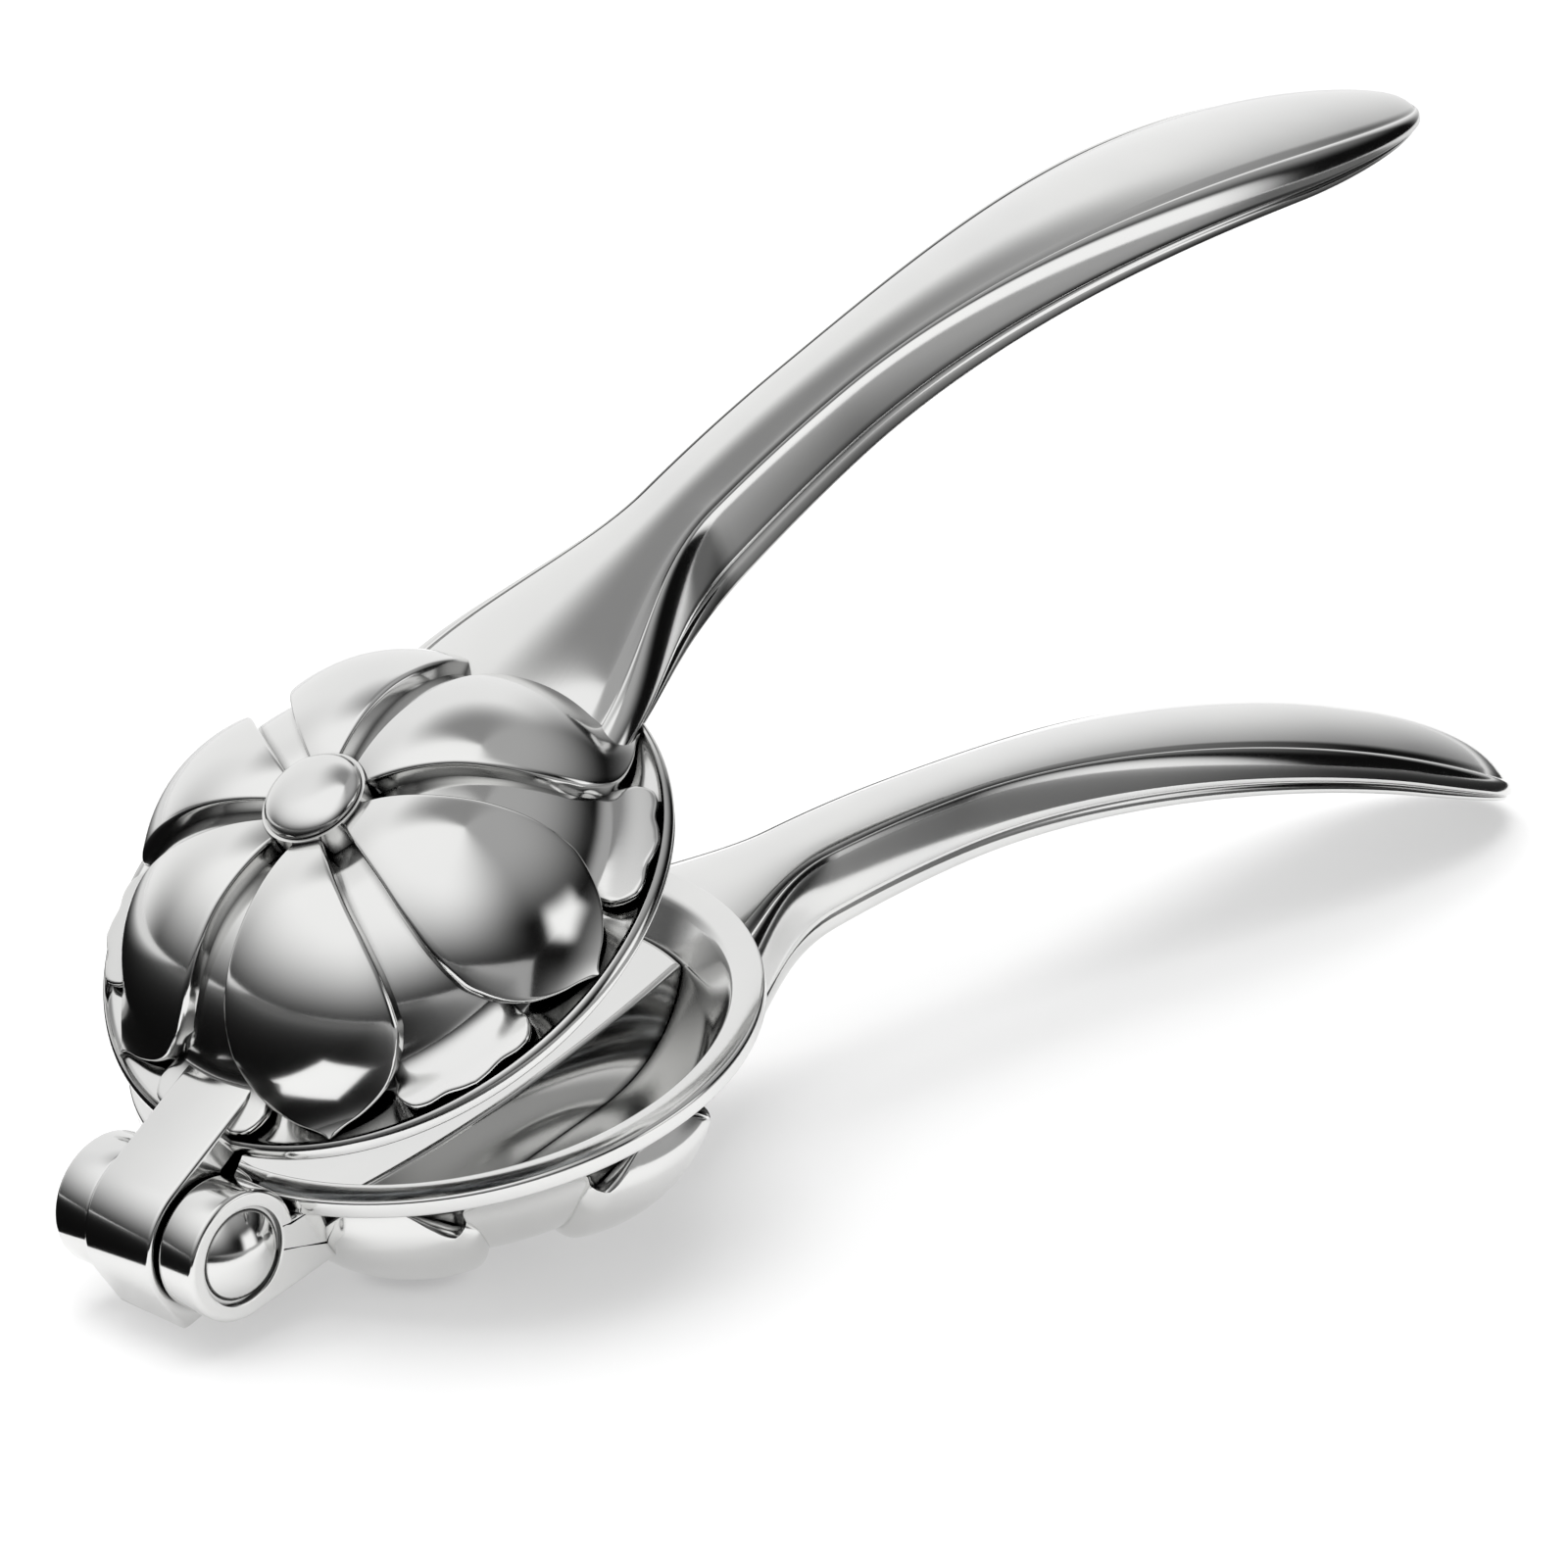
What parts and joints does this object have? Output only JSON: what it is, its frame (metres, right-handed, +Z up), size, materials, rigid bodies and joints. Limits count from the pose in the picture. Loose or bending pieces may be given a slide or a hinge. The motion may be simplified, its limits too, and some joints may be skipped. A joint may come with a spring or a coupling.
{
  "type": "chestnut cutter",
  "caption": "Hinged hand tool with two petalled cups and arched handles; crossed blades in the upper cup score a chestnut held in the lower bowl.",
  "frame": {"origin": "middle of the bounding box, on the table that the open tool lies on", "axes": "+X from the hinge to the handle tips, +Y along the hinge pin, +Z up from the table"},
  "size_m": [0.1826, 0.052, 0.0775],
  "materials": {
    "polished_casting": "polished",
    "rivet_steel": "polished",
    "blade_steel": "ground"
  },
  "bodies": {
    "lower_jaw": {"lower_bowl": "polished_casting", "lower_handle": "polished_casting", "near_lug": "polished_casting", "far_lug": "polished_casting", "hinge_pin": "rivet_steel", "nut_cradle": "polished_casting", "base_rivet": "rivet_steel"},
    "upper_jaw": {"upper_cup": "polished_casting", "upper_handle": "polished_casting", "hinge_tongue": "polished_casting", "crown_rivet": "rivet_steel", "blade_hub": "rivet_steel", "long_blade": "blade_steel", "cross_blade": "blade_steel"}
  },
  "joints": [
    {"name": "jaw_hinge", "type": "hinge", "parent": "lower_jaw", "child": "upper_jaw", "pos_m": [-0.08533, 0, 0.00793], "axis": [0, -1, 0], "range_deg": [-22.6, 52]}
  ]
}
